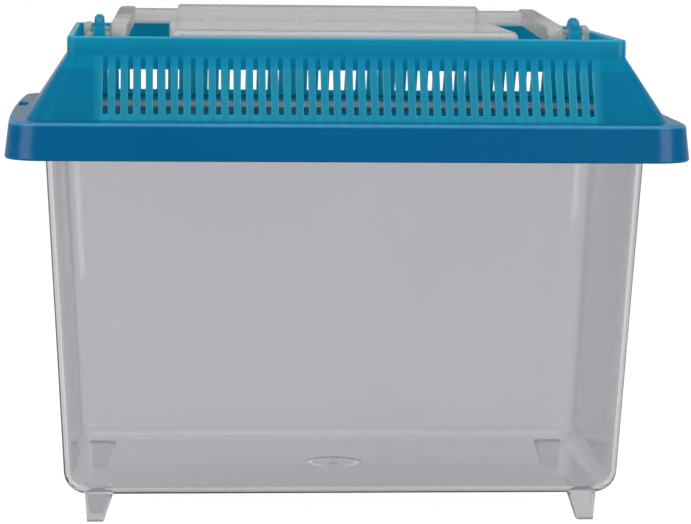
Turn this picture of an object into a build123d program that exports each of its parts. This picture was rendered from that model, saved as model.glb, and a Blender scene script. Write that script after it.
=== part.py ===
# Plastic pet keeper: a clear tub with a blue lid that has a slotted roof, a feeding door and a carry handle.
# Millimetres. +Z is up, the feet stand on Z = 0, X runs along the long side and -Y is the front.
# The origin is on the floor under the middle of the tub.
from math import asin, atan2, cos, degrees, hypot, radians, sin, tan
import os

from build123d import *

# Tank: a tapered tub with a flange round its mouth
tank_length = 201.0
tank_width = 119.0
tank_height = 125.6
tank_draft = 3.05
tank_wall = 1.9
tank_corner_radius = 10.0
tank_bottom_radius = 7.5
flange_side_reach = 9.5
flange_front_reach = 12.5
flange_thickness = 1.9
flange_lip_depth = 4.5
flange_lip_wall = 1.6
gate_recess_diameter = 20.0
gate_recess_depth = 0.5
gate_nub_diameter = 3.0

# Feet, moulded under the corners of the tank's floor
foot_height = 9.8
foot_top_size = 9.8
foot_tip_size = 5.7
foot_inset = 6.8
foot_lean = 0.6
foot_edge_radius = 1.0

# Lid: skirt, flat ledge, sloping roof and a sunken tray with an upstanding rim
lid_wall = 1.9
lid_corner_radius = 13.0
lid_side_bow = 1.8
skirt_height = 12.3
skirt_flare = 1.5
skirt_edge_radius = 1.2
skirt_edge_bevel = 0.6
ledge_side_width = 6.2
ledge_front_width = 7.8
roof_rise = 21.0
roof_side_run = 13.7
roof_front_run = 11.2
roof_foot_radius = 10.0
tray_corner_radius = 3.0
tray_band = 6.0
tray_depth = 8.8
tray_edge_bevel = 0.5

# Air slots in the front and the back of the roof
slot_end_margin = 10.0
slot_pitch = 4.1
slot_width = 1.7
slot_sill = 2.1
slot_head = 0.7

# Window in each side ledge, towards the back
window_length = 18.0
window_width = 3.2
window_edge_margin = 1.2
window_offset = 13.0

# Feeding door, an inverted tray that stands on the lid's tray floor over its opening
hatch_side_gap = 14.55
hatch_front_gap = 14.1
hatch_back_gap = 15.6
hatch_rise = 10.5
hatch_wall = 1.8
hatch_front_radius = 3.0
hatch_back_radius = 10.0
hatch_edge_radius = 2.0
hatch_tab_length = 26.0
hatch_tab_reach = 7.5
hatch_tab_thickness = 1.6
hatch_tab_lift = 2.0
hatch_opening_margin = 4.5
hatch_opening_radius = 4.0

# Hinge of the feeding door: pegs in two low ears
hinge_height = 1.9
hinge_setback = 1.7
hinge_barrel_radius = 1.75
hinge_peg_diameter = 2.0
hinge_ear_radius = 1.8
hinge_ear_thickness = 2.6

# Carry handle: two arms, a bar with a thicker grip, and pegs with button heads
handle_end_gap = 2.55
handle_splay = 2.7
handle_rim_inset = 2.1
handle_arm_width = 5.9
handle_arm_height = 6.2
handle_edge_bevel = 0.6
handle_corner_radius = 3.0
handle_bar_depth = 8.0
handle_bar_height = 5.0
handle_bar_radius = 1.6
handle_bar_drop = 0.6
handle_grip_inset = 23.95
handle_grip_depth = 10.4
handle_grip_height = 6.8
handle_grip_radius = 2.4
handle_peg_diameter = 3.4
handle_head_diameter = 6.6
handle_head_thickness = 2.6
handle_head_bevel = 0.9

# Ears of the lid that the handle's pegs snap down into
pivot_drop = 0.7
ear_gap = 1.3
ear_radius = 6.0
ear_base_thickness = 5.1
ear_top_thickness = 3.1
ear_edge_bevel = 0.8
ear_mouth_width = 2.9

# Clearances between pieces
seat_clearance = 0.6
pivot_clearance = 0.1
side_play = 0.2
handle_rest_gap = 0.1

# Heights that the pieces share
tank_floor_z = foot_height
tank_rim_z = tank_floor_z + tank_height
ledge_z = tank_rim_z + lid_wall
skirt_z = ledge_z - skirt_height
band_z = ledge_z + roof_rise
tray_rim_z = band_z + tray_band
tray_floor_z = tray_rim_z - tray_depth
tray_under_z = tray_floor_z - lid_wall
pivot_z = tray_rim_z - pivot_drop
hinge_z = tray_floor_z + hinge_height

# Plan sizes that the pieces share, from the tank outwards and then in over the lid
flange_inset = skirt_flare + lid_wall + seat_clearance
lid_length = tank_length + 2 * (flange_side_reach + flange_inset)
lid_width = tank_width + 2 * (flange_front_reach + flange_inset)
roof_length = lid_length - 2 * (skirt_flare + ledge_side_width)
roof_width = lid_width - 2 * (skirt_flare + ledge_front_width)
tray_length = roof_length - 2 * roof_side_run
tray_width = roof_width - 2 * roof_front_run
slot_count = int((tray_length - 2 * slot_end_margin) / slot_pitch)

# Places in the tray: from its inner sides in to the ears, the handle and the feeding door
rim_x = tray_length / 2 - lid_wall
rim_y = tray_width / 2 - lid_wall
handle_head_x = rim_x - handle_end_gap - handle_head_thickness
ear_inner_x = handle_head_x - side_play - ear_base_thickness
handle_span = 2 * (ear_inner_x - ear_gap)
handle_reach = rim_y - handle_rim_inset
hatch_length = handle_span - 2 * (handle_arm_width + hatch_side_gap)
hatch_front = hatch_front_gap - rim_y
hatch_back = rim_y - hatch_back_gap
hatch_width = hatch_back - hatch_front
hatch_middle = (hatch_front + hatch_back) / 2
hinge_y = hatch_back - hinge_setback


def lid_outline(inset):
    """The lid's outline in plan, with bowed short sides, drawn in by the inset."""
    half_length = lid_length / 2 - inset
    half_width = lid_width / 2 - inset
    corner_x = half_length - lid_side_bow
    with BuildSketch() as outline:
        with BuildLine():
            Line((-corner_x, -half_width), (corner_x, -half_width))
            ThreePointArc((corner_x, -half_width), (half_length, 0), (corner_x, half_width))
            Line((corner_x, half_width), (-corner_x, half_width))
            ThreePointArc((-corner_x, half_width), (-half_length, 0), (-corner_x, -half_width))
        make_face()
        fillet(outline.vertices(), lid_corner_radius - inset)
    return outline.sketch


def tub_form(wall, floor_z):
    """The tub's tapered form drawn in by the wall, from the floor height to the rim, its edges rounded."""
    height = tank_rim_z - floor_z
    length = tank_length - 2 * wall
    width = tank_width - 2 * wall
    with BuildPart() as tub:
        with BuildSketch(Plane.XZ.offset(-width / 2)):
            with Locations((0, tank_rim_z)):
                Trapezoid(length, height, 90 - tank_draft, rotation=180, align=(Align.CENTER, Align.MIN))
        extrude(amount=width)
        with BuildSketch(Plane.YZ.offset(-length / 2)):
            with Locations((0, tank_rim_z)):
                Trapezoid(width, height, 90 - tank_draft, rotation=180, align=(Align.CENTER, Align.MIN))
        extrude(amount=length, mode=Mode.INTERSECT)
        upright_edges = tub.edges() - tub.edges().filter_by(Plane.XY)
        fillet(upright_edges, tank_corner_radius - wall)
        fillet(tub.faces().sort_by(Axis.Z)[0].edges(), tank_bottom_radius - wall)
    return tub.part


def skirt_form(wall, height):
    """The skirt's flared form drawn in by the wall, from its open bottom up to the given height."""
    with BuildPart() as skirt:
        with BuildSketch(Plane.XY.offset(skirt_z)):
            add(lid_outline(wall))
        extrude(amount=height, taper=degrees(atan2(skirt_flare, skirt_height)))
    return skirt.part


def roof_form(wall, top_z):
    """The roof's sloping form drawn in by the wall, from the ledge up to the top height."""
    share = (top_z - ledge_z) / roof_rise
    top_length = roof_length + (tray_length - roof_length) * share
    top_width = roof_width + (tray_width - roof_width) * share
    top_radius = roof_foot_radius + (tray_corner_radius - roof_foot_radius) * share
    with BuildPart() as roof:
        with BuildSketch(Plane.XY.offset(ledge_z)):
            RectangleRounded(roof_length - 2 * wall, roof_width - 2 * wall, roof_foot_radius - wall)
        with BuildSketch(Plane.XY.offset(top_z)):
            RectangleRounded(top_length - 2 * wall, top_width - 2 * wall, top_radius - wall)
        loft(ruled=True)
    return roof.part


def hatch_form(wall):
    """The feeding door's form drawn in by the wall, from the tray floor up."""
    with BuildPart() as form:
        with BuildSketch(Plane.XY.offset(tray_floor_z)) as plan:
            with Locations((0, hatch_middle)):
                Rectangle(hatch_length - 2 * wall, hatch_width - 2 * wall)
            fillet(plan.vertices().group_by(Axis.Y)[0], hatch_front_radius - wall)
            fillet(plan.vertices().group_by(Axis.Y)[-1], hatch_back_radius - wall)
        extrude(amount=hatch_rise - wall)
    return form.part


# Feet, tapered on their inner sides and nearly upright on their outer ones
foot_corner_x = tank_length / 2 - tank_height * tan(radians(tank_draft)) - foot_inset
foot_corner_y = tank_width / 2 - tank_height * tan(radians(tank_draft)) - foot_inset
with BuildPart() as feet:
    with BuildSketch(Plane.XY):
        with Locations((foot_corner_x - foot_lean, foot_corner_y - foot_lean)):
            RectangleRounded(foot_tip_size, foot_tip_size, foot_edge_radius, align=(Align.MAX, Align.MAX))
    with BuildSketch(Plane.XY.offset(tank_floor_z + tank_wall / 2)):
        with Locations((foot_corner_x, foot_corner_y)):
            RectangleRounded(foot_top_size, foot_top_size, foot_edge_radius, align=(Align.MAX, Align.MAX))
    loft(ruled=True)
    mirror(about=Plane.YZ)
    mirror(about=Plane.XZ)

# Tank: tub, flange with its turned-down lip, feet, and the round mark of the gate under the floor
with BuildPart() as tank:
    add(tub_form(0, tank_floor_z))
    with BuildSketch(Plane.XY.offset(tank_rim_z - flange_thickness)):
        add(lid_outline(flange_inset))
    extrude(amount=flange_thickness)
    with BuildSketch(Plane.XY.offset(tank_rim_z - flange_lip_depth)):
        add(lid_outline(flange_inset))
        add(lid_outline(flange_inset + flange_lip_wall), mode=Mode.SUBTRACT)
    extrude(amount=flange_lip_depth)
    add(tub_form(tank_wall, tank_floor_z + tank_wall), mode=Mode.SUBTRACT)
    add(feet.part)
    with BuildSketch(Plane.XY.offset(tank_floor_z)):
        Circle(gate_recess_diameter / 2)
        Circle(gate_nub_diameter / 2, mode=Mode.SUBTRACT)
    extrude(amount=gate_recess_depth, mode=Mode.SUBTRACT)
tank.part.label = "tank"

# One handle ear: a round-topped plate that thins upwards, with a bore that the peg snaps down into
ear_height = pivot_z + ear_radius - tray_floor_z
ear_slope = degrees(atan2(ear_height, (ear_base_thickness - ear_top_thickness) / 2))
with BuildPart() as handle_ear:
    with BuildSketch(Plane.YZ.offset(ear_inner_x)):
        with Locations((0, pivot_z)):
            Circle(ear_radius)
            Rectangle(2 * ear_radius, pivot_z - tray_floor_z, align=(Align.CENTER, Align.MAX))
    extrude(amount=ear_base_thickness)
    with BuildSketch(Plane.XZ.offset(-ear_radius)):
        with Locations((ear_inner_x, tray_floor_z)):
            Trapezoid(ear_base_thickness, ear_height, ear_slope, align=(Align.MIN, Align.MIN))
    extrude(amount=2 * ear_radius, mode=Mode.INTERSECT)
    ear_outline = handle_ear.edges().filter_by(Axis.X, reverse=True).filter_by(Axis.Y, reverse=True)
    chamfer(ear_outline, ear_edge_bevel)
    with BuildSketch(Plane.YZ.offset(ear_inner_x)):
        with Locations((0, pivot_z)):
            Circle(handle_peg_diameter / 2 + pivot_clearance)
            Rectangle(ear_mouth_width, 2 * ear_radius, align=(Align.CENTER, Align.MIN))
    extrude(amount=ear_base_thickness, mode=Mode.SUBTRACT)

# One hinge ear of the feeding door
hinge_ear_x = hatch_length / 2 + side_play
with BuildPart() as hinge_ear:
    with BuildSketch(Plane.YZ.offset(hinge_ear_x)):
        with Locations((hinge_y, hinge_z)):
            Circle(hinge_ear_radius)
            Rectangle(2 * hinge_ear_radius, hinge_height, align=(Align.CENTER, Align.MAX))
            Circle(hinge_peg_diameter / 2 + pivot_clearance, mode=Mode.SUBTRACT)
    extrude(amount=hinge_ear_thickness)

# Lid
slot_foot_z = ledge_z + slot_sill
slot_top_z = band_z - slot_head
window_x = lid_length / 2 - skirt_flare - window_edge_margin - window_width / 2
with BuildPart() as lid:
    # Skirt and ledge, then the roof and the band of the tray
    add(skirt_form(0, skirt_height))
    chamfer(lid.faces().sort_by(Axis.Z)[0].edges(), skirt_edge_bevel)
    fillet(lid.faces().sort_by(Axis.Z)[-1].edges(), skirt_edge_radius)
    add(roof_form(0, band_z))
    with BuildSketch(Plane.XY.offset(band_z)):
        RectangleRounded(tray_length, tray_width, tray_corner_radius)
    extrude(amount=tray_band)
    # Hollow of the skirt and the roof, open below
    add(skirt_form(lid_wall, skirt_height - lid_wall), mode=Mode.SUBTRACT)
    with BuildSketch(Plane.XY.offset(tank_rim_z)):
        RectangleRounded(roof_length - 2 * lid_wall, roof_width - 2 * lid_wall, roof_foot_radius - lid_wall)
    extrude(amount=lid_wall, mode=Mode.SUBTRACT)
    add(roof_form(lid_wall, tray_under_z), mode=Mode.SUBTRACT)
    # Tray, open above
    with BuildSketch(Plane.XY.offset(tray_floor_z)):
        RectangleRounded(tray_length - 2 * lid_wall, tray_width - 2 * lid_wall, tray_corner_radius - lid_wall)
    extrude(amount=tray_depth, mode=Mode.SUBTRACT)
    chamfer(lid.faces().sort_by(Axis.Z)[-1].edges(), tray_edge_bevel)
    # Opening under the feeding door
    with BuildSketch(Plane.XY.offset(tray_under_z)):
        with Locations((0, hatch_middle)):
            RectangleRounded(
                hatch_length - 2 * (hatch_wall + hatch_opening_margin),
                hatch_width - 2 * (hatch_wall + hatch_opening_margin),
                hatch_opening_radius,
            )
    extrude(amount=lid_wall, mode=Mode.SUBTRACT)
    # Air slots: through the sloping wall, and above the tray's floor a groove that fades out at the band
    for side in (1, -1):
        with BuildSketch(Plane.XZ.offset(side * tray_width / 2)):
            with Locations((0, (slot_foot_z + slot_top_z) / 2)):
                with GridLocations(slot_pitch, slot_pitch, slot_count, 1):
                    Rectangle(slot_width, slot_top_z - slot_foot_z)
        extrude(amount=side * (roof_width - tray_width) / 2, mode=Mode.SUBTRACT)
    # Windows in the side ledges
    with BuildSketch(Plane.XY.offset(tank_rim_z)):
        with Locations((-window_x, window_offset), (window_x, window_offset)):
            Rectangle(window_width, window_length)
    extrude(amount=lid_wall, mode=Mode.SUBTRACT)
    # Ears of the handle and of the feeding door
    add(handle_ear.part)
    add(handle_ear.part.mirror(Plane.YZ))
    add(hinge_ear.part)
    add(hinge_ear.part.mirror(Plane.YZ))
lid.part.label = "lid"

# Feeding door, with its back edge rolled into a barrel about the hinge
hinge_peg_end = hinge_ear_x + hinge_ear_thickness
with BuildPart() as hatch_door:
    add(hatch_form(0))
    fillet(hatch_door.faces().sort_by(Axis.Z)[-1].edges(), hatch_edge_radius)
    add(hatch_form(hatch_wall), mode=Mode.SUBTRACT)
    with BuildSketch(Plane.XY.offset(tray_floor_z)):
        with Locations((0, hinge_y)):
            Rectangle(hatch_length, hinge_setback, align=(Align.CENTER, Align.MIN))
    extrude(amount=hinge_height, mode=Mode.SUBTRACT)
    for radius, end_x in ((hinge_barrel_radius, hatch_length / 2), (hinge_peg_diameter / 2, hinge_peg_end)):
        with BuildSketch(Plane.YZ.offset(-end_x)):
            with Locations((hinge_y, hinge_z)):
                Circle(radius)
        extrude(amount=2 * end_x)
    # Thumb tab
    with BuildSketch(Plane.XY.offset(tray_floor_z + hatch_tab_lift)) as tab_plan:
        with Locations((0, hatch_front + hatch_wall)):
            Rectangle(hatch_tab_length, hatch_tab_reach + hatch_wall, align=(Align.CENTER, Align.MAX))
        fillet(tab_plan.vertices().group_by(Axis.Y)[0], hatch_tab_reach / 2)
    extrude(amount=hatch_tab_thickness)
hatch_door.part.label = "hatch_door"

# Carry handle, folded back until its grip all but touches the tray's back rim
rim_rise = pivot_drop + handle_rest_gap
rest_tilt = asin(handle_grip_height / 2 / hypot(rim_y, rim_rise)) + atan2(rim_rise, rim_y)
handle_plane = Plane((0, 0, pivot_z), x_dir=(0, cos(rest_tilt), sin(rest_tilt)), z_dir=(1, 0, 0))
arm_plane = Plane(handle_plane.offset(handle_span / 2).location * Rotation(0, handle_splay, 0))
across_arm = Axis(arm_plane.origin, arm_plane.z_dir)
bar_end_x = handle_span / 2 - handle_reach * tan(radians(handle_splay)) - handle_arm_width / 2
handle_grip_length = handle_span - 2 * handle_grip_inset
with BuildPart() as grip:
    with BuildSketch(handle_plane.offset(-handle_grip_length / 2)):
        with Locations((handle_reach, 0)):
            RectangleRounded(handle_grip_depth, handle_grip_height, handle_grip_radius)
    extrude(amount=handle_grip_length)
    chamfer(grip.edges().group_by(Axis.X)[0] + grip.edges().group_by(Axis.X)[-1], handle_edge_bevel)
with BuildPart() as carry_handle:
    # Right arm, leaning in towards the bar, with its peg and button head, then its mirror image
    with BuildSketch(arm_plane):
        Circle(handle_arm_height / 2)
        with Locations((handle_reach, -handle_bar_drop / 2)):
            Rectangle(handle_bar_depth, handle_arm_height - handle_bar_drop)
        make_hull()
    extrude(amount=-handle_arm_width)
    arm_end = carry_handle.faces().sort_by(Axis.Y)[-1]
    fillet(arm_end.edges().sort_by(Axis.X)[-1], handle_corner_radius)
    chamfer(carry_handle.faces().sort_by(across_arm)[-1].edges(), handle_edge_bevel)
    chamfer(carry_handle.faces().sort_by(across_arm)[0].edges(), handle_edge_bevel)
    with BuildSketch(handle_plane.offset((handle_span - handle_arm_width) / 2)):
        Circle(handle_peg_diameter / 2)
    extrude(amount=handle_head_x - (handle_span - handle_arm_width) / 2)
    with BuildSketch(handle_plane.offset(handle_head_x)):
        Circle(handle_head_diameter / 2)
    extrude(amount=handle_head_thickness)
    chamfer(carry_handle.faces().sort_by(Axis.X)[-1].edges(), handle_head_bevel)
    mirror(about=Plane.YZ)
    # Bar between the arms, and the grip round it
    with BuildSketch(handle_plane.offset(-bar_end_x)):
        with Locations((handle_reach, -handle_bar_drop)):
            RectangleRounded(handle_bar_depth, handle_bar_height, handle_bar_radius)
    extrude(amount=2 * bar_end_x)
    add(grip.part)
carry_handle.part.label = "carry_handle"

os.makedirs("parts", exist_ok=True)
export_step(tank.part, "parts/tank.step")
export_step(lid.part, "parts/lid.step")
export_step(hatch_door.part, "parts/hatch_door.step")
export_step(carry_handle.part, "parts/carry_handle.step")
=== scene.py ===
"""Looks of the plastic pet keeper: clear tub, blue slotted lid, feeding door and carry handle."""

import math

import bpy
from bpy.props import FloatProperty, FloatVectorProperty, PointerProperty
from bpy.types import Operator, Panel, PropertyGroup
from mathutils import Matrix, Vector


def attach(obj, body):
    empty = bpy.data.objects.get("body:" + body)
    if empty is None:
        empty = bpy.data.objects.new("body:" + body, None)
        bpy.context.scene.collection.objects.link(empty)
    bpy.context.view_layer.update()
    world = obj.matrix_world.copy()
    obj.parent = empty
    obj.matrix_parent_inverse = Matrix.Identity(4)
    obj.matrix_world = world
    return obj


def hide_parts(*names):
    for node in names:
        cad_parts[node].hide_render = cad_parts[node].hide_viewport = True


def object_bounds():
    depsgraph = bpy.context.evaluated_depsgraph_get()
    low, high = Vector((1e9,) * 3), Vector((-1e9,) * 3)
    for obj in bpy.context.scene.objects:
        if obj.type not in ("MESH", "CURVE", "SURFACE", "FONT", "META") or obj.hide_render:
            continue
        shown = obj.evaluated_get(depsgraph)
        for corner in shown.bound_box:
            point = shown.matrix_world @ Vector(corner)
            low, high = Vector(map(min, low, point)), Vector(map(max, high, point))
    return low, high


bl_info = {
    "name": "Pet keeper",
    "version": (1, 0, 0),
    "blender": (4, 5, 0),
    "location": "3D View > Sidebar > Keeper",
    "description": "Gives a packed pet keeper its plastics, lights and camera",
    "category": "Object",
}

WHITE = (1.0, 1.0, 1.0)
BLACK = (0.0, 0.0, 0.0)

# Welding and smoothing of the mouldings
PLAN_NAME = "Finish moulding"
WELD_DISTANCE = 1e-6
SHARP_ANGLE = math.radians(28)

# Lights: name, place, size and power. All aim at the middle of the keeper.
LAMPS = (
    ("left_box", (-0.9, -0.6, 0.5), (0.7, 0.8), 6.0),
    ("right_box", (0.76, -0.84, 0.45), (0.75, 0.8), 7.0),
    ("top_box", (0.0, -0.1, 1.3), (1.2, 0.8), 6.0),
)

# Floor and sky: their own light, with what a gloss mirrors in front and how much more behind
FLOOR_REACH = 4.0
FLOOR_SHADE = (0.15, 0.15, 0.15)
FLOOR_TO_CAMERA = 0.1
FLOOR_MIRRORED, FLOOR_MIRRORED_BEHIND = 0.05, 0.4
FLOOR_LIGHTING = 0.45
SKY_MIRRORED, SKY_MIRRORED_BEHIND = 0.03, 0.42

# A pair of numbers below is a fade: nothing at the first and all at the second. Most names end in
# the way that the fade grows. Heights and distances are in metres.
FLOOR_TO_BACK = (-0.2, 0.3)
SKY_TO_BACK = (0.2, 0.8)

# Clear plastic
DULL_GREY = (0.45, 0.45, 0.47)
EDGE_ON_DEPTH = 0.62
EDGE_ON_TURN = (0.35, 0.8)
EDGE_ON_UP = (0.0120, 0.0160)
FLOW_PATCHES = (0.35, 0.7)
FLOW_SHARE = 0.12

# Tub: painted highlight and shade along the edge of its floor, painted tints of its feet, a painted
# highlight ring round the gate mark, and the flange
HEEL_DOWN = (0.0135, 0.0115)
HEEL_OUT = (0.0475, 0.0505)
# The front floor edge is painted this shade; the back floor edge is painted white, as a highlight.
HEEL_SHADE = (0.3, 0.3, 0.32)
HEEL_SHARE = 0.7
TUB_TO_BACK = (-0.01, 0.01)
FEET_DOWN = (0.0101, 0.0094)
# The back feet are painted paler than the front ones, as painted light, so they hardly show through
# the tank.
BACK_FEET_PAINTED_PALE = (0.8, 0.8, 0.81)
# A painted white highlight ring round the gate mark.
GATE_RADIUS = 0.0085
GATE_RING = (0.0012, 0.0004)
GATE_SIDES = (0.0035, 0.0050)
GATE_DOWN = (0.0130, 0.0122)
FLANGE_UP = (0.1332, 0.1338)
FLANGE_MILK = 0.6

# Door and handle: how cloudy they are on top, and how much more down their sides
DOOR_SIDES_DOWN = (0.1658, 0.1648)
DOOR_MILK, DOOR_SIDES_MILK = 0.08, 0.27
HANDLE_DOWN = (0.1690, 0.1670)
HANDLE_MILK, HANDLE_SIDES_MILK = 0.05, 0.33

# Lid, from the skirt up, with its bands of painted light, painted highlight and painted shade
ROOF_UP = (0.1366, 0.1372)
# Painted highlight along the skirt's top edge.
EDGE_HIGHLIGHT_UP, EDGE_HIGHLIGHT_DOWN = (0.1360, 0.1364), (0.13725, 0.1370)
ROW_IN = (0.0838, 0.0812)
ROW_UP = (0.1372, 0.1380)
BARS_DOWN = (0.1590, 0.1560)
# Painted shade at the foot of the band, and patches of painted shade above the slots, where the
# grooves' blind ends lie in shadow.
SHADE_UP, SHADE_DOWN = (0.1536, 0.1552), (0.1614, 0.1594)
SHADE_PATCHES_UP, SHADE_PATCHES_DOWN = (0.1535, 0.1545), (0.1600, 0.1582)
BAND_LIGHT_UP = (0.1595, 0.1640)
EARS_UP = (0.1646, 0.1654)
DEEP_BLUE = (0.0, 0.07, 0.17)
DEEP_PATCHES = (0.42, 0.68)

# Grille: across a slot, in shares of the pitch from the slot's middle
SLOT_PITCH = 0.0041
SLOT_IN = (0.23, 0.20)
# Painted highlight lines along the slots' edges.
LIP_HIGHLIGHT_OUT, LIP_HIGHLIGHT_IN = (0.20, 0.23), (0.29, 0.25)
# Patches of painted shade over the middles of the slots.
SHADE_PATCH_IN = (0.30, 0.12)

# Outlines that the lid's painted glow, given out as emission, is measured from: half length, half
# width and corner at the ledge.
# The roof's lies 1.6 mm outside its faces, so that the outer slopes glow by a little over half.
# Their top, the band, the tray and all inner faces glow fully, the ledge and the outer skirt not at
# all. The roof leans in, and the skirt flares out, by so many metres a metre.
# The skirt's ends draw in by the bow times the squared distance from the middle.
LEDGE_HEIGHT = 0.1373
BAND_HEIGHT = 0.158
SKIRT_OUTLINE = (0.1125, 0.0745, 0.0115)
SKIRT_FLARE = 0.122
SKIRT_BOW = 0.324
ROOF_OUTLINE = (0.1078, 0.0682, 0.0116)
ROOF_LEAN = (0.652, 0.533, 0.333)
ROOF_GLOW_IN = (0.0006, 0.0022)
ROOF_GLOW_UP = (0.1372, 0.1376)
TRAY_GLOW_UP = (0.1530, 0.1550)
SKIRT_GLOW_IN = (0.0008, 0.0018)
SKIRT_GLOW_DOWN = (0.1368, 0.1362)

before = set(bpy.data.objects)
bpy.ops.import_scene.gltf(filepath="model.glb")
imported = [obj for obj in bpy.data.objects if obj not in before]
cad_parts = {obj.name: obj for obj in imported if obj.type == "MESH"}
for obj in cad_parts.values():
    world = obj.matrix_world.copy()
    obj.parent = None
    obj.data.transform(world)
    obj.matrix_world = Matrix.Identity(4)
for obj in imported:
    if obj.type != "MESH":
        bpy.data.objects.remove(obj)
cad_low, cad_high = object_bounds()


# Node trees


class Wire:
    """An output socket on a bench. Arithmetic on it adds Math nodes."""

    def __init__(self, bench, socket):
        self.bench = bench
        self.socket = socket

    def math(self, operation, *others):
        inputs = dict(enumerate((self, *others)))
        return self.bench.node("ShaderNodeMath", {"operation": operation}, inputs)

    def __add__(self, other):
        return self.math("ADD", other)

    __radd__ = __add__

    def __sub__(self, other):
        return self.math("SUBTRACT", other)

    def __rsub__(self, other):
        return self.bench.node("ShaderNodeMath", {"operation": "SUBTRACT"}, {0: other, 1: self})

    def __mul__(self, other):
        return self.math("MULTIPLY", other)

    __rmul__ = __mul__

    def __truediv__(self, other):
        return self.math("DIVIDE", other)

    def __pow__(self, other):
        return self.math("POWER", other)

    def __abs__(self):
        return self.math("ABSOLUTE")

    def between(self, low, high):
        """0 below low, 1 above high and an even slope in between, also with low above high."""
        values = {"Value": self, "From Min": low, "From Max": high, "To Min": 0.0, "To Max": 1.0}
        return self.bench.node("ShaderNodeMapRange", {"clamp": True}, values)


class Bench:
    """Lays out the nodes of one material or world."""

    def __init__(self, owner):
        owner.use_nodes = True
        self.tree = owner.node_tree
        self.tree.nodes.clear()

    def node(self, kind, settings=None, inputs=None, output=0):
        """Adds a node, sets it up, then fills or links its inputs. Gives the wire of one output."""
        made = self.tree.nodes.new(kind)
        for key, value in (settings or {}).items():
            setattr(made, key, value)
        for key, value in (inputs or {}).items():
            if isinstance(value, Wire):
                self.tree.links.new(value.socket, made.inputs[key])
            else:
                made.inputs[key].default_value = value
        return Wire(self, made.outputs[output])

    def mix(self, share, first, second):
        """Mixes two colours."""
        inputs = {"Factor": share, 6: first, 7: second}
        return self.node("ShaderNodeMix", {"data_type": "RGBA"}, inputs, output=2)

    def axes(self, vector):
        """The three parts of a vector."""
        outputs = self.node("ShaderNodeSeparateXYZ", inputs={0: vector}).socket.node.outputs
        return [Wire(self, outputs[axis]) for axis in "XYZ"]

    def place(self):
        """The point being shaded, whole and as its three parts in metres."""
        point = self.node("ShaderNodeTexCoord", output="Object")
        return point, *self.axes(point)

    def ray(self, kind):
        """Mask of one kind of ray."""
        return self.node("ShaderNodeLightPath", output=kind)

    def rays(self):
        """Masks of the rays that see the white stage, that a gloss mirrors and of all others."""
        seen = self.ray("Is Camera Ray").math("MAXIMUM", self.ray("Is Transmission Ray"))
        mirrored = self.ray("Is Glossy Ray") * (1 - seen)
        return seen, mirrored, (1 - seen) * (1 - mirrored)

    def noise(self, point, scale, detail=2.0):
        inputs = {"Vector": point, "Scale": scale, "Detail": detail}
        return self.node("ShaderNodeTexNoise", inputs=inputs, output="Fac")

    def bump(self, height, distance, strength):
        inputs = {"Height": height, "Distance": distance, "Strength": strength}
        return self.node("ShaderNodeBump", inputs=inputs)

    def finish(self, shader, kind="ShaderNodeOutputMaterial"):
        self.tree.links.new(shader.socket, self.tree.nodes.new(kind).inputs["Surface"])


def new_material(name):
    material = bpy.data.materials.new(name)
    return material, Bench(material)


def rgba(colour):
    return (*colour, 1.0)


def depth_inside(across, deep, half_length, half_width, radius):
    """How far a point lies inside the outline of a rounded rectangle."""
    past_side = abs(across) - (half_length - radius)
    past_front = abs(deep) - (half_width - radius)
    beside, before = past_side.math("MAXIMUM", 0.0), past_front.math("MAXIMUM", 0.0)
    corner = (beside**2 + before**2) ** 0.5
    return radius - corner - past_side.math("MAXIMUM", past_front).math("MINIMUM", 0.0)


# Pieces


class Plan:
    """Lays out the nodes of one geometry tree."""

    def __init__(self, name):
        self.tree = bpy.data.node_groups.new(name, "GeometryNodeTree")
        self.way_in = self.tree.nodes.new("NodeGroupInput")
        self.way_out = self.tree.nodes.new("NodeGroupOutput")
        for way in ("INPUT", "OUTPUT"):
            self.tree.interface.new_socket(
                "Geometry", in_out=way, socket_type="NodeSocketGeometry"
            )

    def size(self, name, kind="NodeSocketFloat"):
        """Adds a named input to the tree and gives its socket inside."""
        self.tree.interface.new_socket(name, in_out="INPUT", socket_type=kind)
        return self.way_in.outputs[name]

    def node(self, kind, settings=None, inputs=None):
        """Adds a node, sets it up, then fills or links its inputs. Gives its first output."""
        made = self.tree.nodes.new(kind)
        for key, value in (settings or {}).items():
            setattr(made, key, value)
        for key, value in (inputs or {}).items():
            if isinstance(value, bpy.types.NodeSocket):
                self.tree.links.new(value, made.inputs[key])
            else:
                made.inputs[key].default_value = value
        return made.outputs[0]

    def finish(self, geometry):
        self.tree.links.new(geometry, self.way_out.inputs["Geometry"])
        return self.tree


def moulding_plan():
    """Welds a faceted moulding, keeps its sharp edges sharp and gives it its plastic."""
    plan = Plan(PLAN_NAME)
    weld = plan.size("Weld distance")
    sharp = plan.size("Sharp angle")
    plastic = plan.size("Plastic", "NodeSocketMaterial")
    shape = plan.node(
        "GeometryNodeMergeByDistance",
        inputs={"Geometry": plan.way_in.outputs["Geometry"], "Distance": weld},
    )
    shape = plan.node("GeometryNodeSetShadeSmooth", {"domain": "FACE"}, {"Geometry": shape})
    angle = plan.node("GeometryNodeInputMeshEdgeAngle")
    soft = plan.node("FunctionNodeCompare", {"operation": "LESS_THAN"}, {0: angle, 1: sharp})
    shape = plan.node(
        "GeometryNodeSetShadeSmooth",
        {"domain": "EDGE"},
        {"Geometry": shape, "Shade Smooth": soft},
    )
    shape = plan.node("GeometryNodeRealizeInstances", inputs={"Geometry": shape})
    shape = plan.node(
        "GeometryNodeSetMaterial", inputs={"Geometry": shape, "Material": plastic}
    )
    return plan.finish(shape)


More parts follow.
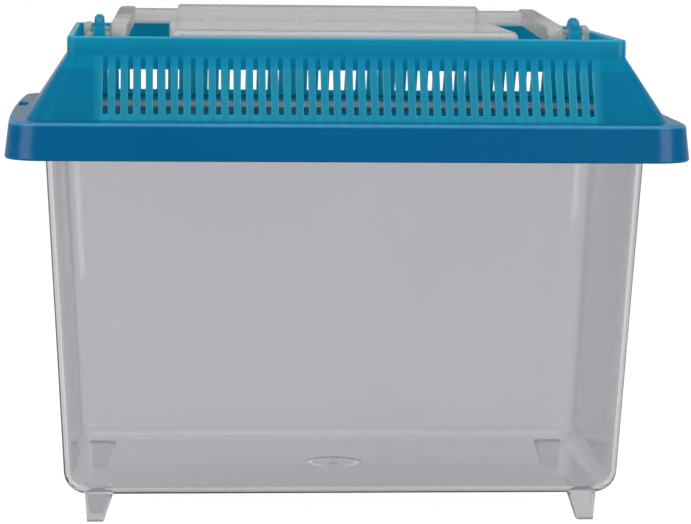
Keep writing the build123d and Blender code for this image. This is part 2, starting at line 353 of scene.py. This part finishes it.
def grown(name, mesh, plan, **inputs):
    """Runs a mesh through a geometry tree and gives the plain mesh that comes out."""
    seed = bpy.data.objects.new(name, mesh)
    bpy.context.scene.collection.objects.link(seed)
    modifier = seed.modifiers.new("Nodes", "NODES")
    modifier.node_group = plan
    sockets = {
        item.name: item.identifier
        for item in plan.interface.items_tree
        if item.in_out == "INPUT"
    }
    for label, value in inputs.items():
        modifier[sockets[label.replace("_", " ").capitalize()]] = value
    depsgraph = bpy.context.evaluated_depsgraph_get()
    grown_mesh = bpy.data.meshes.new_from_object(seed.evaluated_get(depsgraph))
    grown_mesh.name = name
    bpy.data.objects.remove(seed)
    return grown_mesh


def finished_copy(node, name, body, material):
    """Puts a welded and smoothed copy of a node in the node's place."""
    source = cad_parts[node].data.copy()
    mesh = grown(
        name,
        source,
        bpy.data.node_groups.get(PLAN_NAME) or moulding_plan(),
        weld_distance=WELD_DISTANCE,
        sharp_angle=SHARP_ANGLE,
        plastic=material,
    )
    bpy.data.meshes.remove(source)
    piece = bpy.data.objects.new(name, mesh)
    bpy.context.scene.collection.objects.link(piece)
    normals = piece.modifiers.new("Even normals", "WEIGHTED_NORMAL")
    normals.keep_sharp = True
    normals.weight = 100
    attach(piece, body)
    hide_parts(node)


# Settings


def colour_setting(name, description, default):
    return FloatVectorProperty(
        name=name, description=description, default=default, subtype="COLOR"
    )


class StageSettings(PropertyGroup):
    lens: FloatProperty(name="Lens", description="Focal length", default=146.45, unit="CAMERA")
    camera_place: FloatVectorProperty(
        name="Camera place",
        description="Where the camera stands",
        default=(-0.0664, -0.9811, 0.2072),
        unit="LENGTH",
    )
    camera_turn: FloatVectorProperty(
        name="Camera turn",
        description="Pitch, roll and yaw from looking along +Y",
        default=(math.radians(-7.20), math.radians(-0.61), math.radians(-4.08)),
        unit="ROTATION",
    )
    paper_glow: FloatProperty(
        name="Paper glow", description="Own light of the white floor", default=0.86, min=0.0
    )
    ambient: FloatProperty(
        name="Ambient", description="Level of the even light all round", default=0.7, min=0.0
    )


class ClearSettings(PropertyGroup):
    tank_tint: colour_setting(
        "Tank tint", "What one tank wall lets through", (0.68, 0.677, 0.697)
    )
    # The front feet's darker tint is painted shade on the same plastic as the tank.
    foot_tint: colour_setting("Foot tint", "What the front feet let through", (0.5, 0.5, 0.52))
    door_tint: colour_setting("Door tint", "What the door lets through", (0.68, 0.69, 0.71))
    handle_tint: colour_setting(
        "Handle tint", "What the handle lets through", (0.56, 0.56, 0.57)
    )
    cloud: colour_setting("Cloud", "Colour of the cloudy places", (0.8, 0.8, 0.78))
    handle_cloud: colour_setting(
        "Handle cloud", "Colour of the handle's cloudiness", (0.62, 0.62, 0.57)
    )


class LidSettings(PropertyGroup):
    # The lid is one blue plastic. The bars, slots and band are painted lighter, as light coming
    # through the thin plastic; the edge colour is a painted highlight; the shade colour is painted
    # shade at the foot of the band.
    skirt_colour: colour_setting("Skirt", "Lid colour at the skirt", (0.0, 0.1, 0.235))
    roof_colour: colour_setting("Roof", "Lid colour on the slopes", (0.0, 0.096, 0.19))
    bar_light_colour: colour_setting("Bars", "Lid colour on the grille's bars", (0.012, 0.165, 0.235))
    shade_colour: colour_setting(
        "Shade", "Lid colour at the foot of the band", (0.002, 0.1, 0.21)
    )
    slot_light_colour: colour_setting("Slots", "Lid colour in the slots", (0.004, 0.2, 0.3))
    edge_highlight_colour: colour_setting("Edge", "Lid colour along the top edge", (0.03, 0.2, 0.36))
    band_light_colour: colour_setting(
        "Band", "Lid colour of the upright band", (0.004, 0.185, 0.28)
    )
    ear_colour: colour_setting("Ears", "Lid colour of the handle ears", (0.006, 0.1, 0.18))
    # Painted glow: emission that stands in for light spread inside the plastic.
    painted_glow_colour: colour_setting(
        "Glow", "Light that the plastic spreads inside", (0.0, 0.085, 0.13)
    )


# Operators


class KEEPER_OT_stage(Operator):
    """Make the floor, the studio light and the camera"""

    bl_idname = "keeper.stage"
    bl_label = "Stage"

    def execute(self, context):
        settings = context.scene.keeper_stage
        self.add_floor(context.scene, settings)
        self.add_world(context.scene, settings)
        self.add_lamps(context.scene)
        self.add_camera(context.scene, settings)
        context.scene.view_settings.view_transform = "Standard"
        return {"FINISHED"}

    def add_floor(self, scene, settings):
        mesh = bpy.data.meshes.new("floor")
        corners = [
            (across * FLOOR_REACH, deep * FLOOR_REACH, 0)
            for across, deep in ((-1, -1), (1, -1), (1, 1), (-1, 1))
        ]
        mesh.from_pydata(corners, [], [(0, 1, 2, 3)])
        material, bench = new_material("floor_paper")
        seen, mirrored, lighting = bench.rays()
        behind = bench.place()[2].between(*FLOOR_TO_BACK)
        strength = (
            seen * settings.paper_glow
            + bench.ray("Is Camera Ray") * FLOOR_TO_CAMERA
            + mirrored * (FLOOR_MIRRORED + FLOOR_MIRRORED_BEHIND * behind)
            + lighting * FLOOR_LIGHTING
        )
        inputs = {"Color": rgba(WHITE), "Strength": strength}
        glow = bench.node("ShaderNodeEmission", inputs=inputs)
        paper = bench.node("ShaderNodeBsdfDiffuse", inputs={"Color": rgba(FLOOR_SHADE)})
        bench.finish(bench.node("ShaderNodeAddShader", inputs={0: glow, 1: paper}))
        # What depends on the kind of ray has to be hit by a ray, not sampled as a lamp
        material.cycles.emission_sampling = "NONE"
        mesh.materials.append(material)
        floor = bpy.data.objects.new("floor", mesh)
        scene.collection.objects.link(floor)

    def add_world(self, scene, settings):
        world = bpy.data.worlds.new("studio")
        scene.world = world
        world.cycles.sampling_method = "NONE"
        bench = Bench(world)
        seen, mirrored, lighting = bench.rays()
        way = bench.node("ShaderNodeTexCoord", output="Generated")
        behind = bench.axes(way)[1].between(*SKY_TO_BACK)
        strength = (
            seen
            + mirrored * (SKY_MIRRORED + SKY_MIRRORED_BEHIND * behind)
            + lighting * settings.ambient
        )
        inputs = {"Color": rgba(WHITE), "Strength": strength}
        sky = bench.node("ShaderNodeBackground", inputs=inputs)
        bench.finish(sky, "ShaderNodeOutputWorld")

    def add_lamps(self, scene):
        aim = (cad_low + cad_high) / 2
        for name, place, size, power in LAMPS:
            data = bpy.data.lights.new(name, "AREA")
            data.shape = "RECTANGLE"
            data.size, data.size_y = size
            data.energy = power
            lamp = bpy.data.objects.new(name, data)
            lamp.location = place
            lamp.rotation_mode = "QUATERNION"
            lamp.rotation_quaternion = (aim - Vector(place)).to_track_quat("-Z", "Y")
            scene.collection.objects.link(lamp)

    def add_camera(self, scene, settings):
        data = bpy.data.cameras.new("camera")
        data.sensor_width = 36.0
        data.lens = settings.lens
        data.clip_start, data.clip_end = 0.01, 50.0
        camera = bpy.data.objects.new("camera", data)
        pitch, roll, yaw = settings.camera_turn
        turn = (
            Matrix.Rotation(yaw, 3, "Z")
            @ Matrix.Rotation(pitch, 3, "X")
            @ Matrix.Rotation(roll, 3, "Y")
        )
        level = Matrix.Rotation(math.radians(90), 3, "X")
        place = Vector(settings.camera_place)
        camera.matrix_world = Matrix.LocRotScale(place, turn @ level, None)
        scene.collection.objects.link(camera)
        scene.camera = camera


def tub_floor_colour(bench, colour, feet, across, deep, up):
    """Adds painted highlight and shade along the tub's floor edge, a painted highlight ring round
    its gate mark and painted tints of its feet to a colour.

    The floor's back edge is painted white as a highlight and its front edge darker as painted
    shade; the back feet, which show through the front, are painted paler than the front feet,
    though the tub is one even plastic.
    """
    back = deep.between(*TUB_TO_BACK)
    # Painted highlight along the back floor edge and painted shade along the front one.
    heel_lines = up.between(*HEEL_DOWN) * abs(deep).between(*HEEL_OUT)
    heel_shade_and_highlight = bench.mix(back, rgba(HEEL_SHADE), rgba(WHITE))
    colour = bench.mix(heel_lines * HEEL_SHARE, colour, heel_shade_and_highlight)
    # A painted white highlight ring round the gate mark.
    from_gate = (across * across + deep * deep) ** 0.5
    gate_highlight = abs(from_gate - GATE_RADIUS).between(*GATE_RING)
    gate_highlight = gate_highlight * abs(across).between(*GATE_SIDES) * up.between(*GATE_DOWN)
    colour = bench.mix(gate_highlight, colour, rgba(WHITE))
    # Feet: the front ones get a darker tint as painted shade, the back ones are painted paler.
    solid = bench.mix(back, rgba(feet), rgba(BACK_FEET_PAINTED_PALE))
    return bench.mix(up.between(*FEET_DOWN), colour, solid)


def clear_plastic(name, tint, haze, cloud, milk, feet=None):
    """Clear moulded plastic. A sheet of it lets the tint through, deeper edge on.

    haze blurs it, milk is a function of the height that gives the share of cloud colour, and feet
    is the tint of the front feet, where the piece has feet.
    """
    material, bench = new_material(name)
    point, across, deep, up = bench.place()
    flow = bench.node("ShaderNodeMapping", inputs={"Vector": point, "Scale": (1.0, 1.0, 0.25)})
    ripple = bench.noise(flow, scale=45.0) * 0.8 + bench.noise(point, scale=420.0) * 0.08
    edge_on = bench.node("ShaderNodeLayerWeight", inputs={"Blend": 0.5}, output="Facing")
    rim = edge_on.between(*EDGE_ON_TURN) * up.between(*EDGE_ON_UP)
    deeper = rgba([EDGE_ON_DEPTH * level for level in tint])
    colour = bench.mix(rim, rgba(tint), deeper)
    patches = bench.noise(point, scale=8.0).between(*FLOW_PATCHES)
    colour = bench.mix(patches * FLOW_SHARE, colour, rgba(DULL_GREY))
    if feet:
        colour = tub_floor_colour(bench, colour, feet, across, deep, up)
    inputs = {
        "Base Color": colour,
        "Roughness": bench.noise(point, scale=30.0) * haze,
        "IOR": 1.5,
        "Transmission Weight": 1.0,
        "Normal": bench.bump(ripple, distance=0.00006, strength=0.3),
    }
    clear = bench.node("ShaderNodeBsdfPrincipled", inputs=inputs)
    cloudy = bench.node("ShaderNodeBsdfDiffuse", inputs={"Color": rgba(cloud)})
    bench.finish(bench.node("ShaderNodeMixShader", inputs={0: milk(up), 1: clear, 2: cloudy}))
    return material


class KEEPER_OT_tank(Operator):
    """Make the clear tank"""

    bl_idname = "keeper.tank"
    bl_label = "Tank"

    def execute(self, context):
        settings = context.scene.keeper_clear
        material = clear_plastic(
            "tank_styrene",
            settings.tank_tint,
            haze=0.06,
            cloud=settings.cloud,
            milk=lambda up: up.between(*FLANGE_UP) * FLANGE_MILK,
            feet=settings.foot_tint,
        )
        finished_copy("tank", "tank_shell", "tank", material)
        return {"FINISHED"}


class KEEPER_OT_lid(Operator):
    """Make the blue slotted lid"""

    bl_idname = "keeper.lid"
    bl_label = "Lid"

    def execute(self, context):
        material = self.blue_plastic(context.scene.keeper_lid)
        finished_copy("lid", "lid_shell", "lid", material)
        return {"FINISHED"}

    def blue_plastic(self, settings):
        """Tinted plastic that spreads light inside, with painted light in the grille and band, a
        painted highlight along the edge and a painted glow on its inner faces.
        """
        material, bench = new_material("lid_plastic")
        point, across, deep, up = bench.place()
        inputs = {
            "Base Color": self.layered_colour(bench, settings, point, across, up),
            "Roughness": 0.24,
            "Specular IOR Level": 0.22,
            # The emission is a painted glow on the inner faces, the top and the outer slopes.
            "Emission Color": self.glow(bench, settings, across, deep, up),
            "Emission Strength": 1.0,
            "Normal": bench.bump(bench.noise(point, scale=160.0), distance=0.00003, strength=0.4),
            "Subsurface Weight": 0.8,
            "Subsurface Radius": (0.15, 0.8, 1.0),
            "Subsurface Scale": 0.0025,
        }
        bench.finish(bench.node("ShaderNodeBsdfPrincipled", inputs=inputs))
        return material

    def layered_colour(self, bench, settings, point, across, up):
        """The skirt's colour with the other colours laid over it in turn: painted light on the
        bars, slots and band, painted highlights on the edge and lips, painted shade at the foot of
        the band and above the slots, then random deeper blue.
        """
        off_slot = abs((across / SLOT_PITCH).math("FRACT") - 0.5)
        in_row = abs(across).between(*ROW_IN) * up.between(*ROW_UP)
        # Bars and slots are painted lighter, as light coming through the thin plastic.
        bars = in_row * up.between(*BARS_DOWN)
        slots = bars * off_slot.between(*SLOT_IN)
        # Painted highlight lines along the edges of the slots.
        lip_highlights = bars * off_slot.between(*LIP_HIGHLIGHT_OUT) * off_slot.between(*LIP_HIGHLIGHT_IN)
        # Painted shade at the foot of the band and over the blind upper ends of the slots.
        shade = in_row * up.between(*SHADE_UP) * up.between(*SHADE_DOWN)
        patches = in_row * off_slot.between(*SHADE_PATCH_IN)
        patches = patches * up.between(*SHADE_PATCHES_UP) * up.between(*SHADE_PATCHES_DOWN)
        deeper = bench.noise(point, scale=22.0, detail=3.0).between(*DEEP_PATCHES)
        layers = (
            (up.between(*ROOF_UP), settings.roof_colour),
            (up.between(*EDGE_HIGHLIGHT_UP) * up.between(*EDGE_HIGHLIGHT_DOWN), settings.edge_highlight_colour),
            (bars, settings.bar_light_colour),
            (slots, settings.slot_light_colour),
            (lip_highlights * 0.5, settings.edge_highlight_colour),
            (shade * 0.7, settings.shade_colour),
            (patches * 0.85, settings.skirt_colour),
            # The band is painted lighter, as light coming through its single wall.
            (up.between(*BAND_LIGHT_UP) * 0.8, settings.band_light_colour),
            (up.between(*EARS_UP), settings.ear_colour),
            (deeper * 0.16, DEEP_BLUE),
        )
        colour = rgba(settings.skirt_colour)
        for share, layer in layers:
            colour = bench.mix(share, colour, rgba(layer))
        return colour

    def glow(self, bench, settings, across, deep, up):
        """Painted glow, given out as emission, for light that the tinted wall spreads: full inside
        and on top, less on the outer slopes.
        """
        risen = up.math("MINIMUM", BAND_HEIGHT) - LEDGE_HEIGHT
        outline = [size - risen * lean for size, lean in zip(ROOF_OUTLINE, ROOF_LEAN)]
        in_roof = depth_inside(across, deep, *outline).between(*ROOF_GLOW_IN)
        in_roof = in_roof * up.between(*ROOF_GLOW_UP) * (1 + up.between(*TRAY_GLOW_UP))
        flare = (LEDGE_HEIGHT - up) * SKIRT_FLARE
        half_length, half_width, radius = [flare + size for size in SKIRT_OUTLINE]
        half_length = half_length - deep * deep * SKIRT_BOW
        in_skirt = depth_inside(across, deep, half_length, half_width, radius)
        in_skirt = in_skirt.between(*SKIRT_GLOW_IN) * up.between(*SKIRT_GLOW_DOWN)
        return bench.mix(in_roof + in_skirt, rgba(BLACK), rgba(settings.painted_glow_colour))


class KEEPER_OT_door(Operator):
    """Make the clear feeding door"""

    bl_idname = "keeper.door"
    bl_label = "Feeding door"

    def execute(self, context):
        settings = context.scene.keeper_clear
        material = clear_plastic(
            "door_styrene",
            settings.door_tint,
            haze=0.1,
            cloud=settings.cloud,
            milk=lambda up: DOOR_MILK + DOOR_SIDES_MILK * up.between(*DOOR_SIDES_DOWN),
        )
        finished_copy("hatch_door", "hatch_shell", "hatch", material)
        return {"FINISHED"}


class KEEPER_OT_handle(Operator):
    """Make the clear carry handle"""

    bl_idname = "keeper.handle"
    bl_label = "Carry handle"

    def execute(self, context):
        settings = context.scene.keeper_clear
        material = clear_plastic(
            "handle_styrene",
            settings.handle_tint,
            haze=0.5,
            cloud=settings.handle_cloud,
            milk=lambda up: HANDLE_MILK + HANDLE_SIDES_MILK * up.between(*HANDLE_DOWN),
        )
        finished_copy("carry_handle", "handle_bail", "handle", material)
        return {"FINISHED"}


class KEEPER_PT_sidebar(Panel):
    """Lists the keeper's settings and operators"""

    bl_label = "Pet keeper"
    bl_space_type = "VIEW_3D"
    bl_region_type = "UI"
    bl_category = "Keeper"

    def draw(self, context):
        for scene_name in settings_groups:
            group = getattr(context.scene, scene_name)
            box = self.layout.box()
            for name in group.__annotations__:
                box.prop(group, name)
        for operator in operators:
            self.layout.operator(operator.bl_idname)


settings_groups = {
    "keeper_stage": StageSettings,
    "keeper_clear": ClearSettings,
    "keeper_lid": LidSettings,
}
operators = (
    KEEPER_OT_stage,
    KEEPER_OT_tank,
    KEEPER_OT_lid,
    KEEPER_OT_door,
    KEEPER_OT_handle,
)


def register():
    for name, group in settings_groups.items():
        bpy.utils.register_class(group)
        setattr(bpy.types.Scene, name, PointerProperty(type=group))
    for operator in operators:
        bpy.utils.register_class(operator)
    bpy.utils.register_class(KEEPER_PT_sidebar)


def unregister():
    bpy.utils.unregister_class(KEEPER_PT_sidebar)
    for operator in reversed(operators):
        bpy.utils.unregister_class(operator)
    for name, group in reversed(settings_groups.items()):
        delattr(bpy.types.Scene, name)
        bpy.utils.unregister_class(group)


def main():
    register()
    bpy.ops.keeper.stage()
    bpy.ops.keeper.tank()
    bpy.ops.keeper.lid()
    bpy.ops.keeper.door()
    bpy.ops.keeper.handle()


if __name__ == "__main__":
    main()
